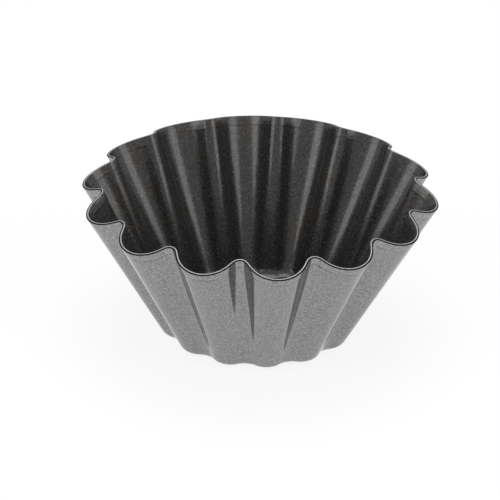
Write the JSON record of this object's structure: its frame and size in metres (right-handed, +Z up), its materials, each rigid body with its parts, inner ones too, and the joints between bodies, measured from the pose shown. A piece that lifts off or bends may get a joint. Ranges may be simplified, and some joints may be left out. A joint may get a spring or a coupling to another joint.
{
  "type": "brioche mould",
  "caption": "Individual brioche mould: a fluted, flaring cup pressed from thin non-stick coated steel, with a flat base and a wavy rim.",
  "frame": {"origin": "centre of the flat base, on the surface that the mould stands on", "axes": "+Z up along the mould's axis, +X towards the crest of one flute"},
  "size_m": [0.08, 0.0784, 0.035],
  "materials": {
    "nonstick_steel": "semi-gloss non-stick coating with a fine metallic fleck, pewter grey outside and charcoal inside"
  },
  "bodies": {
    "root": {"mould_shell": "nonstick_steel"}
  },
  "joints": []
}
